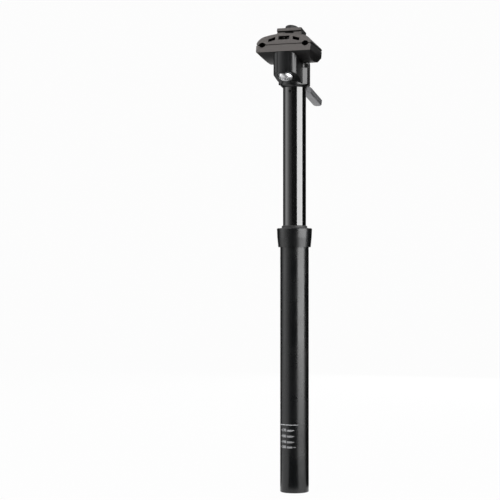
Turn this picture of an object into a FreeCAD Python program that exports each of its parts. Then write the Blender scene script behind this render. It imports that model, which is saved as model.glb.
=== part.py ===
import FreeCAD, Part
import math
import os

import Sketcher

# A height-adjustable bicycle seatpost, fully extended. Origin on the post's axis at the underside of the
# collar, +Z up along the post, +Y towards the front of the bicycle, +X to the rider's right.

Vector = FreeCAD.Vector
ORIGIN = Vector(0, 0, 0)
X_AXIS = Vector(1, 0, 0)
Y_AXIS = Vector(0, 1, 0)
Z_AXIS = Vector(0, 0, 1)
# Length of a cutting shape that has to run past every piece of the head, and half of it.
PAST = "120"
HALF_PAST = "60"

doc = FreeCAD.newDocument("seatpost")
sheet = doc.addObject("Spreadsheet::Sheet", "sizes")

DRIVING_SIZES = (
    # the part that goes into the seat tube
    ("post_diameter", 27.2),
    ("insert_length", 232.0),
    ("tube_wall", 1.6),
    ("tube_end_chamfer", 0.5),
    ("thread_relief", 0.3),
    ("thread_length", 12.0),
    # the sliding upper tube
    ("stanchion_diameter", 22.0),
    ("stanchion_wall", 2.0),
    ("exposed_length", 133.3),
    ("stanchion_overlap", 78.0),
    ("socket_depth", 18.7),
    ("travel", 125.0),
    # clearances
    ("running_gap", 0.04),
    ("bond_gap", 0.03),
    ("seat_gap", 0.2),
    ("loose_gap", 0.3),
    # collar and wiper
    ("collar_height", 18.0),
    ("collar_top_diameter", 33.5),
    ("collar_bottom_diameter", 30.9),
    ("collar_edge", 0.6),
    ("collar_shoulder", 1.5),
    ("collar_bulge", 0.25),
    ("wiper_diameter", 28.0),
    ("wiper_lip_height", 2.6),
    ("wiper_lip_wall", 0.6),
    ("bushing_length", 30.0),
    ("lower_bushing_length", 12.0),
    ("key_height", 8.0),
    ("key_width", 3.0),
    ("key_reach", 0.6),
    ("key_gap", 0.12),
    # gas spring
    ("cylinder_diameter", 16.0),
    ("cylinder_wall", 1.5),
    ("rod_diameter", 8.0),
    ("rod_bore", 3.2),
    ("pin_diameter", 2.8),
    ("base_height", 7.0),
    ("base_inset", 5.2),
    ("ring_thickness", 1.2),
    ("ring_depth", 0.5),
    ("cylinder_top_depth", 45.0),
    ("gland_height", 12.0),
    ("gland_flange", 3.0),
    ("bumper_height", 3.0),
    ("piston_height", 10.0),
    ("holder_height", 12.0),
    ("holder_drop", 4.0),
    ("nut_height", 4.0),
    ("nut_width", 13.0),
    ("pin_stand_out", 3.3),
    ("end_cap_height", 8.0),
    ("base_bolt_diameter", 6.0),
    ("base_bolt_head", 10.0),
    # head
    ("stem_diameter", 27.0),
    ("stem_chamfer", 2.0),
    ("boss_width", 24.0),
    ("boss_reach", 28.2),
    ("boss_corner", 7.0),
    ("boss_bulge", 0.8),
    ("boss_slope", 24.6),
    ("boss_bottom", 12.2),
    ("ear_width", 29.6),
    ("ear_chamfer", 4.0),
    ("ear_back", 8.1),
    ("ear_front", 1.2),
    ("ear_height", 15.7),
    ("nose_diameter", 19.6),
    ("nose_reach", 13.6),
    ("nose_bottom", 2.7),
    ("nose_top_cut", 26.0),
    ("nose_top_slope", 35.0),
    ("lever_slot_back", 2.0),
    ("lever_slot_height", 16.7),
    ("set_screw_diameter", 3.0),
    # tilting seat of the saddle clamp
    ("tilt_centre_y", -3.3),
    ("tilt_centre_height", 63.7),
    ("cradle_depth", 11.4),
    ("bolt_lean", 18.5),
    ("clamp_lean", 10.5),
    ("clamp_centre_y", -13.0),
    ("clamp_centre_height", 35.5),
    ("clamp_width", 55.0),
    ("clamp_length", 29.2),
    ("tilt_up", 10.0),
    ("tilt_down", 5.0),
    ("end_bevel_depth", 6.3),
    ("end_bevel_angle", 42.0),
    # saddle rails
    ("rail_diameter", 7.0),
    ("rail_spacing", 43.5),
    ("groove_offset", 1.3),
    ("parting_gap", 0.5),
    # upper clamp
    ("arch_side", 2.2),
    ("arch_shoulder", 20.0),
    ("arch_shoulder_height", 8.3),
    ("arch_height", 10.9),
    ("arch_taper", 0.78),
    ("window_depth", 18.0),
    ("window_width", 11.0),
    ("window_bottom", 4.8),
    ("window_height", 3.3),
    ("window_rib", 3.4),
    ("side_window_width", 6.7),
    ("pad_width", 24.8),
    ("pad_length", 15.0),
    # clamp nut and bolt
    ("nut_plate_width", 24.8),
    ("nut_plate_length", 13.4),
    ("nut_seat_height", 14.1),
    ("nut_plate_edge", 3.0),
    ("nut_collar_diameter", 12.6),
    ("nut_collar_height", 3.2),
    ("bolt_diameter", 8.0),
    ("bolt_head_diameter", 13.3),
    ("bolt_head_height", 4.1),
    ("bolt_seat_depth", 14.9),
    ("washer_height", 1.2),
    ("washer_diameter", 14.0),
    ("bolt_hex", 5.0),
    # lever
    ("lever_width", 5.2),
    ("lever_depth", 6.0),
    ("lever_slope", 18.5),
    ("lever_reach", 62.0),
    ("lever_edge", 1.2),
    ("lever_neck", 13.0),
    ("lever_blade_width", 9.0),
    ("lever_tip_radius", 3.6),
    ("pivot_height", 6.7),
    ("pivot_diameter", 4.0),
    ("arm_height", 3.2),
    ("arm_width", 5.0),
    ("arm_overhang", 2.0),
    ("hub_wall", 1.6),
)

for row, (alias, value) in enumerate(DRIVING_SIZES, start=1):
    sheet.set("A%d" % row, alias)
    sheet.set("B%d" % row, str(value))
    sheet.setAlias("B%d" % row, alias)
doc.recompute()

# Places and radii that several pieces share, each written once from the driving sizes.
POST_R = "sizes.post_diameter / 2"
TUBE_BORE_R = "(sizes.post_diameter / 2 - sizes.tube_wall)"
THREAD_R = "(sizes.post_diameter / 2 - sizes.thread_relief)"
STANCHION_R = "sizes.stanchion_diameter / 2"
STANCHION_BORE_R = "(sizes.stanchion_diameter / 2 - sizes.stanchion_wall)"
TUBE_BOTTOM = "(0 - sizes.insert_length)"
STANCHION_BOTTOM = "(sizes.collar_height - sizes.stanchion_overlap)"
HEAD_BOTTOM = "(sizes.collar_height + sizes.exposed_length)"
STANCHION_TOP = "(%s + sizes.socket_depth)" % HEAD_BOTTOM
WIPER_R = "sizes.wiper_diameter / 2"
WIPER_BOTTOM = "(sizes.thread_length + sizes.collar_shoulder)"
BUSHING_BOTTOM = "(sizes.thread_length - sizes.bushing_length)"
KEY_SLOT_R = "(%s + sizes.key_reach + sizes.key_gap)" % TUBE_BORE_R
KEY_BOTTOM = "(%s + sizes.lower_bushing_length + 3)" % STANCHION_BOTTOM
RING_BOTTOM = "(%s + sizes.base_inset - sizes.ring_thickness - sizes.bond_gap)" % TUBE_BOTTOM
BASE_BOTTOM = "(%s + sizes.base_inset)" % TUBE_BOTTOM
BASE_TOP = "(%s + sizes.base_height)" % BASE_BOTTOM
CYLINDER_R = "sizes.cylinder_diameter / 2"
CYLINDER_BORE_R = "(sizes.cylinder_diameter / 2 - sizes.cylinder_wall)"
CYLINDER_TOP = "(0 - sizes.cylinder_top_depth)"
GLAND_BOTTOM = "(%s - sizes.gland_height)" % CYLINDER_TOP
SEAL_BOTTOM = "(%s + 4)" % GLAND_BOTTOM
BUMPER_TOP = "(%s - sizes.bond_gap)" % GLAND_BOTTOM
PISTON_TOP = "(%s - sizes.bumper_height - sizes.loose_gap)" % BUMPER_TOP
PISTON_BOTTOM = "(%s - sizes.piston_height)" % PISTON_TOP
ROD_R = "sizes.rod_diameter / 2"
ROD_BORE_R = "sizes.rod_bore / 2"
PIN_R = "sizes.pin_diameter / 2"
HOLDER_MIDDLE = "(%s - sizes.holder_drop)" % HEAD_BOTTOM
HOLDER_BOTTOM = "(%s - sizes.holder_height / 2)" % HOLDER_MIDDLE
HOLDER_TOP = "(%s + sizes.holder_height / 2)" % HOLDER_MIDDLE
NUT_TOP = "(%s + sizes.nut_height)" % HOLDER_TOP
ROD_TOP = "(%s + 0.2)" % NUT_TOP
PIN_TOP = "(%s + sizes.pin_stand_out)" % ROD_TOP
TILT_Y = "sizes.tilt_centre_y"
TILT_Z = "(%s + sizes.tilt_centre_height)" % HEAD_BOTTOM
CLAMP_Z = "(%s + sizes.clamp_centre_height)" % HEAD_BOTTOM
PIVOT_Z = "(%s + sizes.pivot_height)" % HEAD_BOTTOM
# The tilt centre in the clamp's own directions: forward along the rails, and up from the parting plane.
ARM_Y = "(%s - sizes.clamp_centre_y)" % TILT_Y
ARM_Z = "(sizes.tilt_centre_height - sizes.clamp_centre_height)"
TILT_AHEAD = "(%s * cos(sizes.clamp_lean) - %s * sin(sizes.clamp_lean))" % (ARM_Y, ARM_Z)
TILT_ABOVE = "(%s * sin(sizes.clamp_lean) + %s * cos(sizes.clamp_lean))" % (ARM_Y, ARM_Z)
SEAT_R = "(%s + sizes.cradle_depth)" % TILT_ABOVE
NUT_SEAT_R = "(%s - sizes.nut_seat_height)" % TILT_ABOVE
BOLT_SEAT = "(%s + sizes.bolt_seat_depth)" % SEAT_R
PIVOT_R = "sizes.pivot_diameter / 2"


# Turns of the three keys and their keyways about the post, in degrees.
KEY_TURNS = (0, 120, 240)


def number(expression):
    """Value of an expression in the sheet's names."""
    return float(sheet.evalExpression(expression))


def bind(thing, **expressions):
    """Bind properties of a thing to expressions. A double underscore in a name stands for a dot."""
    for name, expression in expressions.items():
        thing.setExpression(name.replace("__", "."), expression)
    return thing


def place(thing, y="0", z="0", turn=None, axis=X_AXIS, x="0"):
    """Bind a thing's position, and its turn about an axis in degrees."""
    thing.Placement = FreeCAD.Placement(ORIGIN, FreeCAD.Rotation(axis, 1.0))
    return bind(
        thing,
        Placement__Base__x=x,
        Placement__Base__y=y,
        Placement__Base__z=z,
        Placement__Rotation__Angle=turn or "0",
    )


def origin_plane(body, role):
    return [plane for plane in body.Origin.OriginFeatures if plane.Role == role][0]


def outline(body, name, role, points):
    """Closed sketch of straight edges on an origin plane, each corner bound to two expressions."""
    sketch = body.newObject("Sketcher::SketchObject", name)
    sketch.AttachmentSupport = (origin_plane(body, role), [""])
    sketch.MapMode = "FlatFace"
    corners = [Vector(number(across), number(along), 0) for across, along in points]
    count = len(corners)
    for index, corner in enumerate(corners):
        sketch.addGeometry(Part.LineSegment(corner, corners[(index + 1) % count]), False)
    for index in range(count):
        sketch.addConstraint(Sketcher.Constraint("Coincident", index, 2, (index + 1) % count, 1))
    for index, (across, along) in enumerate(points):
        for kind, expression in (("DistanceX", across), ("DistanceY", along)):
            rule = sketch.addConstraint(Sketcher.Constraint(kind, index, 1, number(expression)))
            sketch.setExpression("Constraints[%d]" % rule, expression)
    return sketch


def turned(label, points):
    """Body turned about the Z axis from corners of radius and height."""
    body = doc.addObject("PartDesign::Body", label)
    sketch = outline(body, label + "_profile", "XZ_Plane", points)
    turn = body.newObject("PartDesign::Revolution", label + "_turn")
    turn.Profile = sketch
    turn.ReferenceAxis = (sketch, ["V_Axis"])
    turn.Angle = 360
    return body


def rectangle(inner, outer, bottom, top):
    return [(inner, bottom), (outer, bottom), (outer, top), (inner, top)]


def raised(label, points, depth, role="XY_Plane", start=None, both_ways=False):
    """Body raised from an outline of corners on an origin plane."""
    body = doc.addObject("PartDesign::Body", label)
    sketch = outline(body, label + "_outline", role, points)
    if start:
        bind(sketch, AttachmentOffset__Base__z=start)
    pad = body.newObject("PartDesign::Pad", label + "_pad")
    pad.Profile = sketch
    pad.Midplane = both_ways
    bind(pad, Length=depth)
    return body


def box(name, length, width, height):
    return bind(doc.addObject("Part::Box", name), Length=length, Width=width, Height=height)


def rod(name, radius, height):
    return bind(doc.addObject("Part::Cylinder", name), Radius=radius, Height=height)


def cross_rod(name, radius, width, y, z):
    """Cylinder along X, centred across the post."""
    bar = rod(name, radius, width)
    bar.Placement = FreeCAD.Placement(ORIGIN, FreeCAD.Rotation(Y_AXIS, 90))
    return bind(
        bar,
        Placement__Base__x="0 - (%s) / 2" % width,
        Placement__Base__y=y,
        Placement__Base__z=z,
    )


def cut(label, base, *tools):
    """Base less each tool in turn."""
    for index, tool in enumerate(tools):
        result = doc.addObject("Part::Cut", "%s_cut_%d" % (label, index))
        result.Base = base
        result.Tool = tool
        base = result
    base.Label = label
    return base


def fuse(label, *shapes):
    result = doc.addObject("Part::MultiFuse", label + "_fuse")
    result.Shapes = list(shapes)
    result.Refine = True
    result.Label = label
    return result


def common(label, *shapes):
    result = doc.addObject("Part::MultiCommon", label + "_common")
    result.Shapes = list(shapes)
    result.Label = label
    return result


def lean_into_place(thing, y, z, lean):
    """Tip a shape, built about the origin, towards the front and carry it to its place."""
    return place(thing, y=y, z=z, turn="0 - (%s)" % lean)


def outer_tube():
    ring_top = "(%s + 2 * sizes.bond_gap + sizes.ring_thickness)" % RING_BOTTOM
    ring_groove = "(%s + sizes.ring_depth)" % TUBE_BORE_R
    points = [
        (TUBE_BORE_R, TUBE_BOTTOM),
        (POST_R + " - sizes.tube_end_chamfer", TUBE_BOTTOM),
        (POST_R, TUBE_BOTTOM + " + sizes.tube_end_chamfer"),
        (POST_R, "0"),
        (THREAD_R, "0"),
        (THREAD_R, "sizes.thread_length"),
        (TUBE_BORE_R, "sizes.thread_length"),
        (TUBE_BORE_R, ring_top),
        (ring_groove, ring_top),
        (ring_groove, RING_BOTTOM + " - sizes.bond_gap"),
        (TUBE_BORE_R, RING_BOTTOM + " - sizes.bond_gap"),
    ]
    body = turned("outer_tube", points)
    half = "(sizes.key_width / 2 + sizes.key_gap)"
    slot = outline(
        body,
        "keyway_outline",
        "XY_Plane",
        rectangle("0 - " + half, half, TUBE_BORE_R + " - 1", KEY_SLOT_R),
    )
    bind(slot, AttachmentOffset__Base__z=BUSHING_BOTTOM + " - sizes.loose_gap")
    doc.recompute()
    keyway = body.newObject("PartDesign::Pocket", "keyway")
    keyway.Profile = slot
    bind(keyway, Length="sizes.travel + sizes.stanchion_overlap - sizes.bushing_length")
    doc.recompute()
    around = body.newObject("PartDesign::PolarPattern", "keyways")
    around.Originals = [keyway]
    around.Axis = (slot, ["N_Axis"])
    around.Angle = 360
    around.Occurrences = len(KEY_TURNS)
    body.Tip = around
    return body


def seal_collar():
    foot = "sizes.collar_bottom_diameter / 2"
    brim = "sizes.collar_top_diameter / 2"
    thread = "(%s + sizes.bond_gap)" % THREAD_R
    mouth = "(%s + 0.05)" % POST_R
    throat = "(%s + sizes.collar_shoulder / 2)" % STANCHION_R
    thread_top = "sizes.thread_length + sizes.bond_gap"
    points = [
        (mouth, "0"),
        (foot, "0"),
        ("(%s + %s) / 2 + sizes.collar_bulge" % (foot, brim), "sizes.collar_height * 0.5"),
        (brim, "sizes.collar_height - sizes.collar_edge"),
        (brim + " - sizes.collar_edge", "sizes.collar_height"),
        (WIPER_R, "sizes.collar_height"),
        (WIPER_R, WIPER_BOTTOM),
        (throat, WIPER_BOTTOM),
        (throat, thread_top),
        (thread, thread_top),
        (thread, "sizes.thread_relief"),
        (mouth, "sizes.thread_relief"),
    ]
    return turned("seal_collar", points)


def wiper_seal():
    """Wiper pressed into the collar: a lip at each end touches the stanchion, and the upper one stands out."""
    lip = "(%s + sizes.running_gap)" % STANCHION_R
    seat = "(%s - sizes.bond_gap)" % WIPER_R
    relief = "(%s + 0.5)" % STANCHION_R
    top = "(sizes.collar_height + sizes.wiper_lip_height)"
    points = [
        (lip, WIPER_BOTTOM),
        (seat, WIPER_BOTTOM),
        (seat, "sizes.collar_height"),
        (lip + " + sizes.wiper_lip_wall", top),
        (lip, top),
        (lip, top + " - sizes.wiper_lip_wall"),
        (relief, top + " - sizes.wiper_lip_wall"),
        (relief, WIPER_BOTTOM + " + sizes.wiper_lip_wall"),
        (lip, WIPER_BOTTOM + " + sizes.wiper_lip_wall"),
    ]
    return turned("wiper_seal", points)


def upper_bushing():
    inner = "(%s + sizes.running_gap)" % STANCHION_R
    outer = "(%s - sizes.bond_gap)" % TUBE_BORE_R
    return turned("upper_bushing", rectangle(inner, outer, BUSHING_BOTTOM, "sizes.thread_length"))


def base_plug():
    outer = "(%s - sizes.bond_gap)" % TUBE_BORE_R
    hole = "(sizes.base_bolt_diameter / 2 + sizes.loose_gap)"
    recess = "(sizes.base_bolt_head / 2 + sizes.loose_gap)"
    floor = "(%s + 3.5)" % BASE_BOTTOM
    points = [
        (recess, BASE_BOTTOM),
        (outer, BASE_BOTTOM),
        (outer, BASE_TOP),
        (hole, BASE_TOP),
        (hole, floor),
        (recess, floor),
    ]
    return turned("base_plug", points)


def base_retaining_ring():
    inner = "(%s - 1.6)" % TUBE_BORE_R
    outer = "(%s + sizes.ring_depth - sizes.bond_gap)" % TUBE_BORE_R
    top = "(%s + sizes.ring_thickness)" % RING_BOTTOM
    body = turned("base_retaining_ring", rectangle(inner, outer, RING_BOTTOM, top))
    gap = outline(
        body,
        "ring_gap_outline",
        "XY_Plane",
        rectangle("0 - 3", "3", "0", outer + " + 2"),
    )
    bind(gap, AttachmentOffset__Base__z=top + " + 1")
    doc.recompute()
    opening = body.newObject("PartDesign::Pocket", "ring_gap")
    opening.Profile = gap
    bind(opening, Length="sizes.ring_thickness + 2")
    body.Tip = opening
    return body


def hex_prism(name, across_flats, height, z):
    prism = doc.addObject("Part::Prism", name)
    prism.Polygon = 6
    bind(prism, Circumradius="%s / %.6f" % (across_flats, math.sqrt(3)), Height=height)
    return place(prism, z=z, axis=Z_AXIS)


def base_bolt():
    head_bottom = "(%s + 0.5)" % BASE_BOTTOM
    seat = "(%s + 3.5)" % BASE_BOTTOM
    shank = "sizes.base_bolt_diameter / 2"
    points = [
        ("0", head_bottom),
        ("sizes.base_bolt_head / 2", head_bottom),
        ("sizes.base_bolt_head / 2", seat),
        (shank, seat),
        (shank, BASE_TOP + " + sizes.end_cap_height - 1"),
        ("0", BASE_TOP + " + sizes.end_cap_height - 1"),
    ]
    socket = hex_prism("base_bolt_socket", "sizes.bolt_hex", "2.6", head_bottom + " - 0.6")
    return cut("base_bolt", turned("base_bolt_body", points), socket)


def gas_cylinder():
    return turned(
        "gas_cylinder",
        rectangle(CYLINDER_BORE_R, CYLINDER_R, BASE_TOP, CYLINDER_TOP + " - sizes.gland_flange"),
    )


def cylinder_end_cap():
    outer = "(%s - sizes.bond_gap)" % CYLINDER_BORE_R
    hole = "(sizes.base_bolt_diameter / 2 + sizes.bond_gap)"
    top = "(%s + sizes.end_cap_height)" % BASE_TOP
    floor = top + " - 1 + sizes.bond_gap"
    points = [
        (hole, BASE_TOP),
        (outer, BASE_TOP),
        (outer, top),
        ("0", top),
        ("0", floor),
        (hole, floor),
    ]
    return turned("cylinder_end_cap", points)


def cylinder_gland():
    bore = "(%s + sizes.running_gap)" % ROD_R
    body = "(%s - sizes.bond_gap)" % CYLINDER_BORE_R
    groove = "(%s + 1.6)" % ROD_R
    flange = CYLINDER_TOP + " - sizes.gland_flange"
    points = [
        (bore, GLAND_BOTTOM),
        (body, GLAND_BOTTOM),
        (body, flange),
        (CYLINDER_R, flange),
        (CYLINDER_R, CYLINDER_TOP),
        (bore, CYLINDER_TOP),
        (bore, SEAL_BOTTOM + " + 2.06"),
        (groove, SEAL_BOTTOM + " + 2.06"),
        (groove, SEAL_BOTTOM),
        (bore, SEAL_BOTTOM),
    ]
    return turned("cylinder_gland", points)


def rod_seal():
    inner = "(%s + sizes.running_gap)" % ROD_R
    outer = "(%s + 1.6 - sizes.bond_gap)" % ROD_R
    return turned("rod_seal", rectangle(inner, outer, SEAL_BOTTOM, SEAL_BOTTOM + " + 2"))


def top_out_bumper():
    inner = "(%s + 2 * sizes.running_gap)" % ROD_R
    outer = "(%s - 2 * sizes.running_gap)" % CYLINDER_BORE_R
    bottom = "(%s - sizes.bumper_height)" % BUMPER_TOP
    return turned("top_out_bumper", rectangle(inner, outer, bottom, BUMPER_TOP))


def piston():
    outer = "(%s - sizes.running_gap)" % CYLINDER_BORE_R
    groove = "(%s - 1.1)" % CYLINDER_BORE_R
    socket = "(%s + sizes.bond_gap)" % ROD_R
    step = "(%s - 3)" % PISTON_TOP
    points = [
        (ROD_BORE_R, PISTON_BOTTOM),
        (outer, PISTON_BOTTOM),
        (outer, PISTON_BOTTOM + " + 3"),
        (groove, PISTON_BOTTOM + " + 3"),
        (groove, PISTON_BOTTOM + " + 5.06"),
        (outer, PISTON_BOTTOM + " + 5.06"),
        (outer, PISTON_TOP),
        (socket, PISTON_TOP),
        (socket, step),
        (ROD_BORE_R, step),
    ]
    return turned("piston", points)


def piston_ring():
    inner = "(%s - 1.1 + sizes.bond_gap)" % CYLINDER_BORE_R
    outer = "(%s - sizes.running_gap / 2)" % CYLINDER_BORE_R
    bottom = "(%s + 3)" % PISTON_BOTTOM
    return turned("piston_ring", rectangle(inner, outer, bottom, bottom + " + 2"))


def piston_rod():
    return turned("piston_rod", rectangle(ROD_BORE_R, ROD_R, PISTON_TOP + " - 3", ROD_TOP))


def release_pin():
    bottom = "(%s + 1)" % PISTON_BOTTOM
    return turned("release_pin", rectangle("0", PIN_R, bottom, PIN_TOP))


def rod_holder():
    inner = "(%s + sizes.bond_gap)" % ROD_R
    outer = "(%s - sizes.bond_gap)" % STANCHION_BORE_R
    ring = turned("rod_holder_body", rectangle(inner, outer, HOLDER_BOTTOM, HOLDER_TOP))
    hole = rod("rod_holder_hole", "sizes.set_screw_diameter / 2 + sizes.bond_gap", "3.1")
    place(hole, y="0 - %s" % STANCHION_BORE_R, z=HOLDER_MIDDLE, turn="-90")
    return cut("rod_holder", ring, hole)


def rod_nut():
    bore = rod("rod_nut_bore", ROD_R + " + sizes.bond_gap", "sizes.nut_height")
    place(bore, z=HOLDER_TOP, axis=Z_AXIS)
    prism = hex_prism("rod_nut_blank", "sizes.nut_width", "sizes.nut_height", HOLDER_TOP)
    return cut("rod_nut", prism, bore)


def holder_set_screw():
    screw = rod("set_screw_blank", "sizes.set_screw_diameter / 2", "sizes.stanchion_wall + 2.4")
    place(screw, y="0 - %s + 0.5" % STANCHION_R, z=HOLDER_MIDDLE, turn="-90")
    socket = doc.addObject("Part::Prism", "set_screw_socket")
    socket.Polygon = 6
    bind(socket, Circumradius="sizes.set_screw_diameter / 4", Height="1.5")
    place(socket, y="0 - %s" % STANCHION_R, z=HOLDER_MIDDLE, turn="-90")
    return cut("holder_set_screw", screw, socket)


def stanchion():
    tube = turned(
        "stanchion_tube",
        rectangle(STANCHION_BORE_R, STANCHION_R, STANCHION_BOTTOM, STANCHION_TOP),
    )
    slot_half = "(sizes.arm_width / 2 + sizes.loose_gap)"
    arm_slot = box("stanchion_arm_slot", "2 * " + slot_half, STANCHION_R, "40")
    place(arm_slot, x="0 - " + slot_half, y="4", z=PIVOT_Z + " - sizes.arm_height - 1.4")
    screw_hole = rod(
        "stanchion_screw_hole",
        "sizes.set_screw_diameter / 2 + sizes.bond_gap",
        "sizes.stanchion_wall + 2",
    )
    place(screw_hole, y="0 - %s - 1" % STANCHION_R, z=HOLDER_MIDDLE, turn="-90")
    pockets = [key_block("key_pocket_%d" % turn, turn, "sizes.bond_gap") for turn in KEY_TURNS]
    return cut("stanchion", tube, arm_slot, screw_hole, *pockets)


def key_block(name, turn, gap):
    """One key's block, standing through the wall of the stanchion at a turn about the post."""
    inner = "(%s + 0.2)" % STANCHION_BORE_R
    start = inner if gap == "0" else "(%s - 1)" % STANCHION_BORE_R
    outer = "(%s + sizes.key_reach)" % TUBE_BORE_R
    half = "(sizes.key_width / 2 + %s)" % gap
    points = rectangle("0 - " + half, half, start, outer)
    block = raised(name, points, "sizes.key_height + 2 * %s" % gap, start=KEY_BOTTOM + " - " + gap)
    block.Placement = FreeCAD.Placement(ORIGIN, FreeCAD.Rotation(Z_AXIS, turn))
    return block


def anti_rotation_keys():
    keys = doc.addObject("Part::Compound", "anti_rotation_keys")
    keys.Links = [key_block("key_%d" % turn, turn, "0") for turn in KEY_TURNS]
    return keys


def lower_bushing():
    inner = "(%s + sizes.bond_gap)" % STANCHION_R
    outer = "(%s - sizes.running_gap)" % TUBE_BORE_R
    top = "(%s + sizes.lower_bushing_length)" % STANCHION_BOTTOM
    return turned("lower_bushing", rectangle(inner, outer, STANCHION_BOTTOM, top))


def hull_sketch(body):
    """Plan of the head: a boss with two round corners behind, and a round nose in front, joined by flanks
    that are tangent to the nose."""
    half = number("sizes.boss_width / 2")
    back = -number("sizes.boss_reach")
    corner = number("sizes.boss_corner")
    bulge = number("sizes.boss_bulge")
    nose_r = number("sizes.nose_diameter / 2")
    nose_y = number("sizes.nose_reach")
    flank_y = -number("sizes.stem_diameter / 2")
    sketch = body.newObject("Sketcher::SketchObject", "head_plan")
    sketch.AttachmentSupport = (origin_plane(body, "XY_Plane"), [""])
    sketch.MapMode = "FlatFace"
    gap = math.hypot(half, nose_y - flank_y)
    lean = math.asin(nose_r / gap) - math.atan2(half, nose_y - flank_y)
    touch = Vector(nose_r * math.cos(lean), nose_y + nose_r * math.sin(lean), 0)
    side = [Vector(half, back + corner, 0), Vector(half, flank_y, 0), touch]
    mirror = [Vector(-point.x, point.y, 0) for point in side]
    turn = math.pi / 2
    geometry = [
        Part.LineSegment(side[0], side[1]),
        Part.LineSegment(side[1], side[2]),
        Part.ArcOfCircle(Part.Circle(Vector(0, nose_y, 0), Z_AXIS, nose_r), lean, math.pi - lean),
        Part.LineSegment(mirror[2], mirror[1]),
        Part.LineSegment(mirror[1], mirror[0]),
        Part.ArcOfCircle(
            Part.Circle(Vector(corner - half, back + corner, 0), Z_AXIS, corner), 2 * turn, 3 * turn
        ),
        Part.Arc(
            Vector(corner - half, back, 0), Vector(0, back - bulge, 0), Vector(half - corner, back, 0)
        ),
        Part.ArcOfCircle(
            Part.Circle(Vector(half - corner, back + corner, 0), Z_AXIS, corner), 3 * turn, 4 * turn
        ),
    ]
    sketch.addGeometry(geometry, False)
    return sketch


def head_block():
    """The head's solid before it is bored: a stem round the stanchion and the taller hull above it."""
    body = doc.addObject("PartDesign::Body", "head_hull")
    sketch = hull_sketch(body)
    bind(sketch, AttachmentOffset__Base__z=HEAD_BOTTOM + " + sizes.nose_bottom")
    pad = body.newObject("PartDesign::Pad", "head_hull_pad")
    pad.Profile = sketch
    bind(pad, Length="sizes.tilt_centre_height - sizes.nose_bottom")
    under = box("boss_under_cut", PAST, PAST, PAST)
    place(
        under,
        x="0 - " + HALF_PAST,
        y="0 - sizes.boss_reach",
        z=HEAD_BOTTOM + " + sizes.boss_bottom",
        turn="0 - sizes.boss_slope - 90",
    )
    hull = cut("head_hull_cut", body, under)
    stem_r = "sizes.stem_diameter / 2"
    points = [
        ("0", HEAD_BOTTOM),
        (stem_r + " - sizes.stem_chamfer", HEAD_BOTTOM),
        (stem_r, HEAD_BOTTOM + " + sizes.stem_chamfer"),
        (stem_r, CLAMP_Z),
        ("0", CLAMP_Z),
    ]
    return fuse("head_block", hull, turned("head_stem", points), head_ears())


def head_ears():
    """Two ears beside the stem that stiffen the pivot's cheeks, each with a chamfered back corner."""
    half = "sizes.ear_width / 2"
    inner = half + " - sizes.ear_chamfer"
    corner = "sizes.ear_chamfer - sizes.ear_back"
    side = [
        (inner, "0 - sizes.ear_back"),
        (half, corner),
        (half, "sizes.ear_front"),
        ("sizes.nose_diameter / 2", "sizes.nose_reach"),
    ]
    mirror = [("0 - (%s)" % across, along) for across, along in reversed(side)]
    return raised("head_ears", side + mirror, "sizes.ear_height", start=HEAD_BOTTOM + " + sizes.nose_bottom")


def along_bolt(name, radius, start, end):
    """Cylinder on the bolt's axis between two distances below the tilt centre."""
    bar = rod(name, radius, "(%s) - (%s)" % (end, start))
    lean = "sizes.bolt_lean"
    return lean_into_place(
        bar,
        "%s - (%s) * sin(%s)" % (TILT_Y, end, lean),
        "%s - (%s) * cos(%s)" % (TILT_Z, end, lean),
        lean,
    )


def seatpost_head():
    seat = cross_rod("head_seat_cut", SEAT_R + " + sizes.seat_gap", PAST, TILT_Y, TILT_Z)
    front = box("head_front_cut", PAST, PAST, PAST)
    nose_cut_z = HEAD_BOTTOM + " + sizes.nose_top_cut"
    place(front, x="0 - " + HALF_PAST, y="sizes.nose_reach", z=nose_cut_z, turn="0 - sizes.nose_top_slope")
    socket = rod("head_socket", STANCHION_R + " + sizes.bond_gap", "sizes.socket_depth + sizes.bond_gap")
    place(socket, z=HEAD_BOTTOM, axis=Z_AXIS)
    bolt_hole = along_bolt(
        "head_bolt_hole",
        "sizes.bolt_diameter / 2 + sizes.loose_gap",
        SEAT_R + " - 10",
        BOLT_SEAT + " + 20",
    )
    spot_face = along_bolt(
        "head_spot_face",
        "sizes.washer_diameter / 2 + 2 * sizes.loose_gap",
        BOLT_SEAT,
        BOLT_SEAT + " + 30",
    )
    slot_half = "(sizes.lever_width / 2 + sizes.loose_gap)"
    lever_slot = box("head_lever_slot", "2 * " + slot_half, PAST, "sizes.lever_slot_height + 1")
    place(lever_slot, x="0 - " + slot_half, y="sizes.lever_slot_back", z=HEAD_BOTTOM + " - 1")
    pivot = cross_rod("head_pivot_hole", PIVOT_R + " + sizes.bond_gap", PAST, "sizes.nose_reach", PIVOT_Z)
    return cut("seatpost_head", head_block(), seat, front, socket, bolt_hole, spot_face, lever_slot, pivot)


def lever_pivot_pin():
    pin = cross_rod("lever_pivot_pin", PIVOT_R, "sizes.nose_diameter - 1.6", "sizes.nose_reach", PIVOT_Z)
    return pin


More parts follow.
